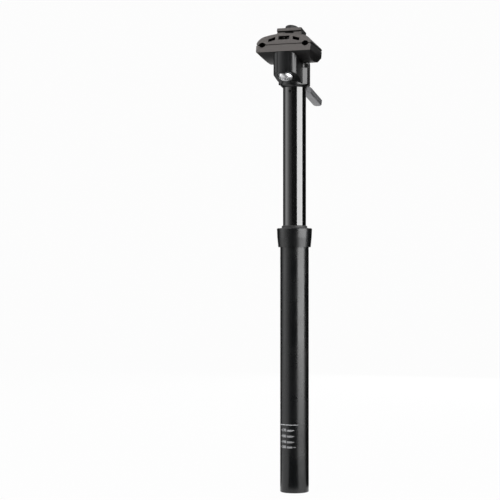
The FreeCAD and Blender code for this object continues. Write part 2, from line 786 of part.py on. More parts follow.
def lever():
    """Pull-up lever: a bar that slopes down to the front, a hub on the pivot and an arm over the pin."""
    reach = "((sizes.lever_reach - sizes.nose_reach) / cos(sizes.lever_slope))"
    half = "sizes.lever_width / 2"
    blade = "sizes.lever_blade_width / 2"
    side = [
        (half, "0"),
        (half, "sizes.lever_neck"),
        (blade, "sizes.lever_neck + 3 * (%s - %s)" % (blade, half)),
        (blade, reach),
    ]
    mirror = [("0 - (%s)" % across, along) for across, along in reversed(side)]
    bar = raised("lever_bar", side + mirror, "sizes.lever_depth", both_ways=True)
    doc.recompute()
    pad = bar.Tip
    tip = number(reach)
    corners = [
        "Edge%d" % (index + 1)
        for index, edge in enumerate(pad.Shape.Edges)
        if abs(edge.CenterOfMass.z) < 0.01 and edge.CenterOfMass.y > tip - 0.01
    ]
    round_tip = bar.newObject("PartDesign::Fillet", "lever_tip")
    round_tip.Base = (pad, corners)
    bind(round_tip, Radius="sizes.lever_tip_radius")
    doc.recompute()
    rims = [
        "Edge%d" % (index + 1)
        for index, edge in enumerate(round_tip.Shape.Edges)
        if abs(edge.CenterOfMass.z) > number("sizes.lever_depth / 2") - 0.01 and edge.CenterOfMass.y > 0.01
    ]
    rounding = bar.newObject("PartDesign::Fillet", "lever_edges")
    rounding.Base = (round_tip, rims)
    bind(rounding, Radius="sizes.lever_edge")
    bar.Tip = rounding
    place(bar, y="sizes.nose_reach", z=PIVOT_Z, turn="0 - sizes.lever_slope")
    hub_r = PIVOT_R + " + sizes.hub_wall"
    hub = cross_rod("lever_hub", hub_r, "sizes.lever_width", "sizes.nose_reach", PIVOT_Z)
    arm = box("lever_arm", "sizes.arm_width", "sizes.nose_reach + sizes.arm_overhang", "sizes.arm_height")
    place(arm, x="0 - sizes.arm_width / 2", y="0 - sizes.arm_overhang", z=PIN_TOP + " + sizes.loose_gap")
    bore = cross_rod("lever_bore", PIVOT_R + " + sizes.running_gap", PAST, "sizes.nose_reach", PIVOT_Z)
    return cut("lever", fuse("lever_blank", bar, hub, arm), bore)


def clamp_frame(thing):
    """Carry a shape built about the clamp's centre into its place, leaning down to the front."""
    return lean_into_place(thing, "sizes.clamp_centre_y", CLAMP_Z, "sizes.clamp_lean")


def bolt_slot(name, low, high, deepest):
    """Slot across the clamp between two heights, long enough for the bolt while the clamp tilts round it.
    The deepest height is where the bolt comes nearest to the rear at full tilt."""
    half = "(sizes.bolt_diameter / 2 + sizes.loose_gap)"
    rear_lean = "(sizes.bolt_lean - sizes.clamp_lean + sizes.tilt_up)"
    front_lean = "(sizes.bolt_lean - sizes.clamp_lean - sizes.tilt_down)"
    back = "(%s - (%s - (%s)) * tan(%s) - %s / cos(%s) - 0.1)" % (
        TILT_AHEAD, TILT_ABOVE, deepest, rear_lean, half, rear_lean
    )
    front = "(%s - (%s - (%s)) * tan(%s) + %s + 0.5)" % (TILT_AHEAD, TILT_ABOVE, high, front_lean, half)
    slot = box(name, "2 * " + half, "%s - %s" % (front, back), "(%s) - (%s)" % (high, low))
    return place(slot, x="0 - " + half, y=back, z=low)


def rail_grooves(name, height):
    """The two channels for the saddle's rails, with their axes at a height over the parting plane."""
    grooves = []
    for side in (-1, 1):
        groove = rod("%s_%d" % (name, (side + 1) // 2), "sizes.rail_diameter / 2", PAST)
        place(groove, x="%d * sizes.rail_spacing / 2" % side, y="0 - " + HALF_PAST, z=height, turn="-90")
        grooves.append(groove)
    return grooves


def lower_cradle():
    """Lower half of the saddle clamp: a plate whose underside is an arc round the tilt centre."""
    half = "sizes.clamp_width / 2"
    drop = "sizes.end_bevel_depth"
    foot = "0 - sizes.cradle_depth - 2"
    inset = "(sizes.cradle_depth + 2 - %s) * tan(sizes.end_bevel_angle)" % drop
    points = [
        ("0 - " + half, "0"),
        ("0 - " + half, "0 - " + drop),
        ("0 - %s + %s" % (half, inset), foot),
        ("%s - %s" % (half, inset), foot),
        (half, "0 - " + drop),
        (half, "0"),
    ]
    plate = raised("cradle_plate", points, "sizes.clamp_length", role="XZ_Plane", both_ways=True)
    arc = cross_rod("cradle_arc", SEAT_R, PAST, TILT_AHEAD, TILT_ABOVE)
    blank = common("cradle_blank", plate, arc)
    slot = bolt_slot("cradle_slot", foot, "1", "0 - sizes.end_bevel_depth - 0.7")
    cradle = cut("lower_cradle", blank, slot, *rail_grooves("lower_groove", "sizes.groove_offset"))
    return clamp_frame(cradle)


def arch_outline(body, name, start, taper):
    """Arched section on a plane across the rails, its height above the parting gap scaled by a taper."""
    sketch = body.newObject("Sketcher::SketchObject", name)
    sketch.AttachmentSupport = (origin_plane(body, "XZ_Plane"), [""])
    sketch.MapMode = "FlatFace"
    bind(sketch, AttachmentOffset__Base__z=start)
    bottom = number("sizes.parting_gap")

    def corner(across, up):
        return Vector(across, bottom + (up - bottom) * taper, 0)

    end = number("sizes.clamp_width / 2")
    side = number("sizes.arch_side")
    shoulder = number("sizes.arch_shoulder")
    shoulder_up = number("sizes.arch_shoulder_height")
    bend = (end * 0.7 + shoulder * 0.3, side * 0.48 + shoulder_up * 0.52)
    crown = corner(0, number("sizes.arch_height"))
    sketch.addGeometry(
        [
            Part.LineSegment(corner(-end, bottom), corner(end, bottom)),
            Part.LineSegment(corner(end, bottom), corner(end, side)),
            Part.Arc(corner(end, side), corner(*bend), corner(shoulder, shoulder_up)),
            Part.Arc(corner(shoulder, shoulder_up), crown, corner(-shoulder, shoulder_up)),
            Part.Arc(corner(-shoulder, shoulder_up), corner(-bend[0], bend[1]), corner(-end, side)),
            Part.LineSegment(corner(-end, side), corner(-end, bottom)),
        ],
        False,
    )
    return sketch


def arch_body():
    """Arch of the upper clamp, which loses height towards the front."""
    body = doc.addObject("PartDesign::Body", "arch")
    rear = arch_outline(body, "arch_rear", "sizes.clamp_length / 2", 1.0)
    front = arch_outline(body, "arch_front", "0 - sizes.clamp_length / 2", number("sizes.arch_taper"))
    doc.recompute()
    loft = body.newObject("PartDesign::AdditiveLoft", "arch_loft")
    loft.Profile = rear
    loft.Sections = [front]
    body.Tip = loft
    return body


def window(name, points):
    """Opening let into the rear face of the arch."""
    start = "sizes.clamp_length / 2 - sizes.window_depth"
    return raised(name, points, "sizes.window_depth + 1", role="XZ_Plane", start=start)


def arch_windows():
    """Three openings through the arch: a level one in the middle and a slanted one to each side."""
    half = "sizes.window_width / 2"
    low = "sizes.window_bottom"
    high = "(sizes.window_bottom + sizes.window_height)"
    near = "(%s + sizes.window_rib)" % half
    far = "(%s + sizes.side_window_width)" % near
    windows = [window("middle_window", rectangle("0 - " + half, half, low, high))]
    for side in ("-1", "1"):
        points = [
            ("%s * %s" % (side, near), low + " - 0.2"),
            ("%s * %s" % (side, far), low + " - 1.8"),
            ("%s * %s" % (side, far), high + " - 2.6"),
            ("%s * %s" % (side, near), high + " - 0.6"),
        ]
        windows.append(window("side_window_%d" % (int(side) + 1), points))
    return windows


def upper_clamp():
    """Upper half of the saddle clamp: an arched bridge with a raised pad that carries the nut."""
    pad = box("clamp_pad", "sizes.pad_width", "sizes.pad_length", "sizes.nut_seat_height")
    place(pad, x="0 - sizes.pad_width / 2", y=TILT_AHEAD + " - sizes.pad_length / 2", z="sizes.arch_side * 2")
    blank = fuse("clamp_blank", arch_body(), pad)
    trough = cross_rod("clamp_trough", NUT_SEAT_R + " + sizes.seat_gap", PAST, TILT_AHEAD, TILT_ABOVE)
    slot = bolt_slot("clamp_slot", "-1", "sizes.nut_seat_height + 2", "0")
    grooves = rail_grooves("upper_groove", "sizes.parting_gap - sizes.groove_offset")
    return clamp_frame(cut("upper_clamp", blank, trough, slot, *arch_windows(), *grooves))


def clamp_nut():
    """Nut block whose underside is round, so that the clamp can tilt under it, with a threaded collar."""
    half = "sizes.nut_plate_length / 2"
    edge_drop = "sqrt(%s ^ 2 - (%s) ^ 2)" % (NUT_SEAT_R, half)
    top = "(%s - sizes.nut_plate_edge)" % edge_drop
    plate = box("nut_plate", "sizes.nut_plate_width", "sizes.nut_plate_length", PAST)
    place(plate, x="0 - sizes.nut_plate_width / 2", y="0 - " + half, z="0 - %s - %s" % (top, PAST))
    barrel = cross_rod("nut_barrel", NUT_SEAT_R, PAST, "0", "0")
    block = common("nut_block", plate, barrel)
    collar = rod("nut_collar", "sizes.nut_collar_diameter / 2", "sizes.nut_collar_height + 2")
    place(collar, z="0 - %s - 2" % top, axis=Z_AXIS)
    bore = rod("nut_bore", "sizes.bolt_diameter / 2 + sizes.bond_gap", PAST)
    place(bore, z="0 - " + HALF_PAST, axis=Z_AXIS)
    nut = cut("clamp_nut", fuse("nut_blank", block, collar), bore)
    return lean_into_place(nut, TILT_Y, TILT_Z, "sizes.bolt_lean")


def clamp_bolt():
    """Domed cap screw, head down. It is drawn upright below the tilt centre, then leant into place."""
    under_head = "(0 - %s - sizes.washer_height)" % BOLT_SEAT
    edge_drop = "sqrt(%s ^ 2 - (sizes.nut_plate_length / 2) ^ 2)" % NUT_SEAT_R
    tip = "(0 - %s + sizes.nut_plate_edge + sizes.nut_collar_height - 0.4)" % edge_drop
    shank = "sizes.bolt_diameter / 2"
    head = "sizes.bolt_head_diameter / 2"
    end = "(%s - sizes.bolt_head_height)" % under_head
    points = [
        ("0", end),
        (head + " * 0.62", end),
        (head + " * 0.92", end + " + sizes.bolt_head_height * 0.3"),
        (head, end + " + sizes.bolt_head_height * 0.7"),
        (head, under_head),
        (shank, under_head),
        (shank, tip),
        ("0", tip),
    ]
    socket = hex_prism("bolt_socket", "sizes.bolt_hex", "3", end + " - 0.4")
    bolt = cut("clamp_bolt", turned("clamp_bolt_body", points), socket)
    return lean_into_place(bolt, TILT_Y, TILT_Z, "sizes.bolt_lean")


def bolt_washer():
    top = "(0 - %s)" % BOLT_SEAT
    inner = "(sizes.bolt_diameter / 2 + sizes.bond_gap)"
    ring = turned(
        "bolt_washer",
        rectangle(inner, "sizes.washer_diameter / 2", top + " - sizes.washer_height", top),
    )
    return lean_into_place(ring, TILT_Y, TILT_Z, "sizes.bolt_lean")


PIECES = (
    outer_tube,
    seal_collar,
    wiper_seal,
    upper_bushing,
    base_plug,
    base_retaining_ring,
    base_bolt,
    gas_cylinder,
    cylinder_end_cap,
    cylinder_gland,
    rod_seal,
    top_out_bumper,
    piston,
    piston_ring,
    piston_rod,
    release_pin,
    rod_holder,
    rod_nut,
    holder_set_screw,
    stanchion,
    anti_rotation_keys,
    lower_bushing,
    seatpost_head,
    lever_pivot_pin,
    lever,
    lower_cradle,
    upper_clamp,
    clamp_nut,
    clamp_bolt,
    bolt_washer,
)


def main():
    built = [make() for make in PIECES]
    doc.recompute()
    for thing in doc.Objects:
        broken = {"Invalid", "Error"} & set(thing.State)
        if broken:
            raise RuntimeError("%s is %s" % (thing.Label, sorted(broken)))
    for piece in built:
        if piece.Shape.isNull() or not piece.Shape.isValid():
            raise RuntimeError("%s has no valid shape" % piece.Label)
        if not piece.Shape.Solids:
            raise RuntimeError("%s holds no solid" % piece.Label)
    os.makedirs("parts", exist_ok=True)
    for piece in built:
        piece.Shape.exportStep("parts/%s.step" % piece.Label)
        print("%-22s %3d solids %12.2f mm3" % (piece.Label, len(piece.Shape.Solids), piece.Shape.Volume))


main()
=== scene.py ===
import logging
import math
from dataclasses import dataclass, field
from enum import Enum
from typing import Any, Iterable, Sequence

import bmesh
import bpy
import numpy as np
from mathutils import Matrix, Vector
from mathutils.bvhtree import BVHTree
from mathutils.kdtree import KDTree


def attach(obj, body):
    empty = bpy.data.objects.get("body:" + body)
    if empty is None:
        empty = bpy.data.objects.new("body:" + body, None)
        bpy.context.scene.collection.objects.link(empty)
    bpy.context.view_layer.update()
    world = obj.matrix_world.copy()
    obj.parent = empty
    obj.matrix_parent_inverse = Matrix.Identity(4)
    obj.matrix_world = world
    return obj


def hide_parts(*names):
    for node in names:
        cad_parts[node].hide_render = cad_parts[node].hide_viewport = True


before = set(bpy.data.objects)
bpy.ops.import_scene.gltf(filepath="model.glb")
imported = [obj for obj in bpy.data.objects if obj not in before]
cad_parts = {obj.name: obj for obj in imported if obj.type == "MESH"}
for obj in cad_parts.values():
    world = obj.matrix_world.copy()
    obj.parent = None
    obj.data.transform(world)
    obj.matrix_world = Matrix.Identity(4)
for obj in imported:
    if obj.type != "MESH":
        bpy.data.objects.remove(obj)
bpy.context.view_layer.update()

LOG = logging.getLogger("seatpost")

WHITE = (1.0, 1.0, 1.0, 1.0)
MM_PER_M = 1000.0
# Where a noise node's values mostly lie, so that a finish uses its whole spread.
NOISE_LOW, NOISE_HIGH = 0.3, 0.7
# The grain's noise times the first plus the second drives the tone, so that it stays off both ends.
TONE_GAIN, TONE_LIFT = 0.7, 0.15
# No real skin is a smoother mirror than this.
LEAST_ROUGHNESS = 0.02
# Larger patches of uneven gloss are about 22 mm across.
CLOUD_SCALE = 45.0

Colour = tuple[float, float, float, float]
Point = tuple[float, float, float]


class Skin(Enum):
    """How a face of a forging is coloured: tumbled outside, a lighter grey as painted sheen, or a dull black as
    painted shade.
    """

    TUMBLED = 0
    PAINTED_SHEEN = 1
    PAINTED_SHADE = 2


def linear(hex_value: str) -> Colour:
    """Turn an sRGB hex colour into linear light.

    Args:
        hex_value: Six hex digits with a leading hash.

    Returns:
        Red, green, blue and an alpha of 1.
    """
    parts = [int(hex_value[i : i + 2], 16) / 255 for i in (1, 3, 5)]
    red, green, blue = [p / 12.92 if p <= 0.04045 else ((p + 0.055) / 1.055) ** 2.4 for p in parts]
    return red, green, blue, 1.0


def add_node(
    tree: bpy.types.NodeTree,
    kind: str,
    settings: dict[str, Any] | None = None,
    inputs: dict[str | int, Any] | None = None,
) -> bpy.types.Node:
    """Add a node with its settings and its inputs, each a value or another node's output.

    Args:
        tree: Node tree that takes the node.
        kind: The node's type name.
        settings: Properties of the node.
        inputs: Socket names or numbers, with values or output sockets.

    Returns:
        The new node.
    """
    node = tree.nodes.new(kind)
    for name, value in (settings or {}).items():
        setattr(node, name, value)
    for name, value in (inputs or {}).items():
        socket = node.inputs[name]
        if isinstance(value, bpy.types.NodeSocket):
            tree.links.new(value, socket)
        else:
            socket.default_value = value
    return node


@dataclass(frozen=True)
class Finish:
    """A surface finish of one real material.

    The grain is a fine noise in the surface's colour, gloss and height. Its size is in millimetres, and its
    stretch along the post draws it out into brushing or turning marks.
    """

    name: str
    colour: str
    metallic: float
    roughness: float
    grain_mm: float = 0.4
    grain_stretch: Point = (1.0, 1.0, 1.0)
    grain_depth: float = 0.05
    gloss_spread: float = 0.06
    tone_spread: float = 0.15
    ior: float = 1.5
    coat: float = 0.0
    coat_roughness: float = 0.05
    sheen: float = 0.0

    def build(self) -> bpy.types.Material:
        """Build the node material: noise on Object coordinates drives tone, gloss and a fine bump.

        Returns:
            The material.
        """
        material = bpy.data.materials.new(self.name)
        material.use_nodes = True
        tree = material.node_tree
        tree.nodes.clear()
        place = add_node(tree, "ShaderNodeTexCoord")
        scale = MM_PER_M / self.grain_mm
        stretched = add_node(
            tree,
            "ShaderNodeMapping",
            inputs={
                "Vector": place.outputs["Object"],
                "Scale": tuple(scale * s for s in self.grain_stretch),
            },
        )
        grain = add_node(
            tree,
            "ShaderNodeTexNoise",
            inputs={"Vector": stretched.outputs["Vector"], "Scale": 1.0, "Detail": 3.0, "Roughness": 0.6},
        )
        cloud = add_node(
            tree,
            "ShaderNodeTexNoise",
            inputs={"Vector": place.outputs["Object"], "Scale": CLOUD_SCALE, "Detail": 2.0},
        )
        base = linear(self.colour)
        low = tuple(c * (1 - self.tone_spread) for c in base[:3]) + (1.0,)
        high = tuple(min(1.0, c * (1 + self.tone_spread)) for c in base[:3]) + (1.0,)
        softened = add_node(
            tree,
            "ShaderNodeMath",
            {"operation": "MULTIPLY_ADD"},
            {0: grain.outputs["Fac"], 1: TONE_GAIN, 2: TONE_LIFT},
        )
        # Sockets 6 and 7 are the two colours of a colour mix, and output 2 is the mixed one.
        tone = add_node(
            tree,
            "ShaderNodeMix",
            {"data_type": "RGBA"},
            {"Factor": softened.outputs[0], 6: low, 7: high},
        )
        gloss = add_node(
            tree,
            "ShaderNodeMapRange",
            inputs={
                "Value": cloud.outputs["Fac"],
                "From Min": NOISE_LOW,
                "From Max": NOISE_HIGH,
                "To Min": max(LEAST_ROUGHNESS, self.roughness - self.gloss_spread),
                "To Max": min(1.0, self.roughness + self.gloss_spread),
            },
        )
        bump = add_node(
            tree,
            "ShaderNodeBump",
            inputs={
                "Strength": self.grain_depth,
                "Distance": self.grain_mm / MM_PER_M / 4,
                "Height": grain.outputs["Fac"],
            },
        )
        surface = add_node(
            tree,
            "ShaderNodeBsdfPrincipled",
            inputs={
                "Base Color": tone.outputs[2],
                "Metallic": self.metallic,
                "Roughness": gloss.outputs["Result"],
                "IOR": self.ior,
                "Coat Weight": self.coat,
                "Coat Roughness": self.coat_roughness,
                "Sheen Weight": self.sheen,
                "Normal": bump.outputs["Normal"],
            },
        )
        end = add_node(tree, "ShaderNodeOutputMaterial")
        tree.links.new(surface.outputs["BSDF"], end.inputs["Surface"])
        return material


# Hard-anodised tube, dyed black and blasted: a fine satin that spreads each light into a soft band.
BLASTED_BLACK = Finish("blasted black anodised aluminium", "#121314", 0.0, 0.27, 0.25, grain_depth=0.10)
# The stanchion is ground and polished under its black anodising, so that the seals slide: near mirror gloss.
POLISHED_BLACK = Finish(
    "polished black anodised aluminium",
    "#151515",
    0.0,
    0.11,
    0.6,
    grain_stretch=(1.0, 1.0, 0.2),
    grain_depth=0.03,
    gloss_spread=0.02,
    ior=1.7,
    coat=0.6,
)
# Forged and tumbled head, dyed black: satin with a slightly uneven skin.
FORGED_BLACK = Finish("forged black anodised aluminium", "#111213", 0.0, 0.30, 0.5, grain_depth=0.14)
# The clamp's forgings are bead-blasted before their dye, so they only glow softly next to the head.
CLAMP_BLACK = Finish("bead-blasted black anodised aluminium", "#131212", 0.0, 0.43, 0.3, grain_depth=0.16, ior=1.42)
# Painted shade: a duller, darker black for faces in pockets and channels and faces that look into the piece, standing
# in for the shade there.
PAINTED_SHADE_BLACK = Finish("painted-shade black anodised aluminium", "#0c0909", 0.0, 0.85, 0.5, grain_depth=0.2, ior=1.3)
# Painted sheen on the clamp's black anodising: a warm grey with a fine streaked grain on faces that look along or
# against a given direction, standing in for the soft light the satin black reflects there.
PAINTED_SHEEN_GREY = Finish(
    "painted-sheen grey on black anodised aluminium",
    "#565250",
    0.0,
    0.40,
    0.35,
    grain_stretch=(0.25, 1.0, 1.0),
    grain_depth=0.14,
    gloss_spread=0.05,
    tone_spread=0.10,
)
# Tumbled lever with a clear anodised skin: a mid grey metal that takes in the pale floor.
LEVER_GREY = Finish("tumbled grey anodised aluminium", "#868689", 0.35, 0.36, 0.6, grain_depth=0.05)
# Nickel over a turned head: bright, with a satin skin that blurs what it shows.
CHROME = Finish("satin nickel-plated steel", "#e6e6e7", 1.0, 0.40, 0.4, grain_depth=0.08, gloss_spread=0.03)
# Black oxide on the small screw and the pivot pin: nearly black, with a low metal shine. On the bolt's shank it is
# painted shade, for the shank in the shade inside the head and clamp.
BLACKED_STEEL = Finish("black-oxide steel", "#1c1c1d", 0.5, 0.42, 0.3, grain_depth=0.12)
# Ground along its length: a bright grey whose fine lines draw each light out.
GROUND_STEEL = Finish("ground steel", "#a9abae", 1.0, 0.25, 0.3, grain_stretch=(1.0, 1.0, 0.15), grain_depth=0.10)
# Turned and left bare inside the post: lighter than steel, with rings from the tool.
RAW_ALUMINIUM = Finish("turned aluminium", "#c4c6c9", 1.0, 0.3, 0.3, grain_stretch=(0.3, 0.3, 1.0), grain_depth=0.12)
# Moulded seals: a soft black with a faint bloom at grazing angles.
NITRILE = Finish("nitrile rubber", "#141414", 0.0, 0.5, 0.3, grain_depth=0.2, sheen=0.1)
# Glass fibres in the bushings turn them dark grey and slightly rough.
FILLED_NYLON = Finish("glass-filled nylon", "#3a3d40", 0.0, 0.5, 0.3, grain_depth=0.1)
# The keys run dry in their grooves, so they are brass: a warm yellow metal.
KEY_BRASS = Finish("turned brass", "#c7a45c", 1.0, 0.3, 0.3, grain_depth=0.1)
# Thin opaque ink: a flat light grey without gloss of its own.
PRINTED_GREY = Finish("pad-printed grey ink", "#b4b5b7", 0.0, 0.5, 0.2, grain_depth=0.05, tone_spread=0.2)


@dataclass
class Wardrobe:
    """Dresses the CAD nodes, one finish for each."""

    finishes: dict[str, Finish] = field(
        default_factory=lambda: {
            "outer_tube": BLASTED_BLACK,
            "seal_collar": BLASTED_BLACK,
            "wiper_seal": NITRILE,
            "upper_bushing": FILLED_NYLON,
            "base_plug": RAW_ALUMINIUM,
            "base_retaining_ring": GROUND_STEEL,
            "base_bolt": GROUND_STEEL,
            "gas_cylinder": RAW_ALUMINIUM,
            "cylinder_end_cap": RAW_ALUMINIUM,
            "cylinder_gland": RAW_ALUMINIUM,
            "rod_seal": NITRILE,
            "top_out_bumper": NITRILE,
            "piston": RAW_ALUMINIUM,
            "piston_ring": FILLED_NYLON,
            "piston_rod": GROUND_STEEL,
            "release_pin": GROUND_STEEL,
            "rod_holder": RAW_ALUMINIUM,
            "rod_nut": GROUND_STEEL,
            "holder_set_screw": BLACKED_STEEL,
            "stanchion": POLISHED_BLACK,
            "anti_rotation_keys": KEY_BRASS,
            "lower_bushing": FILLED_NYLON,
            "seatpost_head": FORGED_BLACK,
            "lever_pivot_pin": BLACKED_STEEL,
            "lever": LEVER_GREY,
            "lower_cradle": CLAMP_BLACK,
            "upper_clamp": CLAMP_BLACK,
            "clamp_nut": CLAMP_BLACK,
            "clamp_bolt": CHROME,
            "bolt_washer": GROUND_STEEL,
        }
    )
    made: dict[str, bpy.types.Material] = field(default_factory=dict)

    def material(self, finish: Finish) -> bpy.types.Material:
        """Give a finish's material, built once.

        Args:
            finish: The finish.

        Returns:
            Its material.
        """
        if finish.name not in self.made:
            self.made[finish.name] = finish.build()
        return self.made[finish.name]

    def dress(self) -> None:
        """Put each node's finish into its material slots."""
        for name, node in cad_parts.items():
            node.data.materials.clear()
            node.data.materials.append(self.material(self.finishes[name]))
            LOG.info("%s: %s", name, self.finishes[name].name)


def new_piece(name: str, points: np.ndarray, faces: Sequence[Sequence[int]], smooth: bool = True) -> bpy.types.Object:
    """Make a mesh object at the origin from points in metres.

    Args:
        name: Name of the piece.
        points: One row of X, Y, Z for each vertex.
        faces: Vertex indices of each face.
        smooth: Whether its faces shade smoothly.

    Returns:
        The object, linked to the scene.
    """
    mesh = bpy.data.meshes.new(name)
    mesh.from_pydata(np.asarray(points, float).tolist(), [], [list(f) for f in faces])
    mesh.polygons.foreach_set("use_smooth", [smooth] * len(mesh.polygons))
    mesh.update()
    piece = bpy.data.objects.new(name, mesh)
    bpy.context.scene.collection.objects.link(piece)
    return piece


@dataclass
class WiperLip:
    """The rubber wiper on the collar: a seal body in the bore, and above it a slim lip with two soft folds."""

    wardrobe: Wardrobe
    steps: int = 96
    # Radius and height of each corner of the section, in millimetres.
    profile: tuple[tuple[float, float], ...] = (
        (11.10, 13.55),
        (13.95, 13.55),
        (13.95, 17.75),
        (13.60, 18.05),
        (13.10, 18.10),
        (12.45, 18.25),
        (12.25, 18.60),
        (12.20, 19.10),
        (12.15, 19.60),
        (11.95, 20.05),
        (11.65, 20.35),
        (11.35, 20.50),
        (11.15, 20.42),
        (11.08, 20.10),
        (11.25, 19.30),
        (11.30, 16.00),
    )

    def build(self) -> bpy.types.Object:
        """Turn the profile round the post: each point's radius times the sine and cosine of even steps.

        Returns:
            The wiper, in place of its node.
        """
        corners = np.array(self.profile) / MM_PER_M
        turn = np.linspace(0.0, 2 * math.pi, self.steps, endpoint=False)
        radius, height = corners[:, 0][:, None], corners[:, 1][:, None]
        grid = np.stack([radius * np.cos(turn), radius * np.sin(turn), height + 0 * turn], axis=2)
        index = np.arange(len(corners) * self.steps).reshape(len(corners), self.steps)
        after = np.roll(index, -1, axis=1)
        above, above_after = np.roll(index, -1, axis=0), np.roll(after, -1, axis=0)
        faces = np.stack([index, after, above_after, above], axis=2).reshape(-1, 4)
        piece = new_piece("wiper_lip", grid.reshape(-1, 3), faces.tolist())
        piece.data.materials.append(self.wardrobe.material(NITRILE))
        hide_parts("wiper_seal")
        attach(piece, "outer")
        LOG.info("%s: %s", piece.name, NITRILE.name)
        return piece


@dataclass(frozen=True)
class Forging:
    """One forged or turned piece that is shown with rounded edges in place of its node."""

    node: str
    body: str
    slot: str
    edge_mm: float
    facing: Point | None = None
    fillets: bool = True


# Each facing is the direction of the faces that get the painted sheen.
FORGINGS = (
    Forging("lower_cradle", "cradle", "clamp_grey", 0.5, (0.0, -0.983, 0.182)),
    Forging("upper_clamp", "clamp", "clamp_grey", 0.4, (0.0, -0.983, 0.182)),
    Forging("clamp_nut", "nut", "clamp_grey", 0.4, (0.0, -0.948, 0.317), fillets=False),
    Forging("seatpost_head", "post", "head_black", 0.6, fillets=False),
    Forging("clamp_bolt", "post", "bolt_bright", 0.35),
)


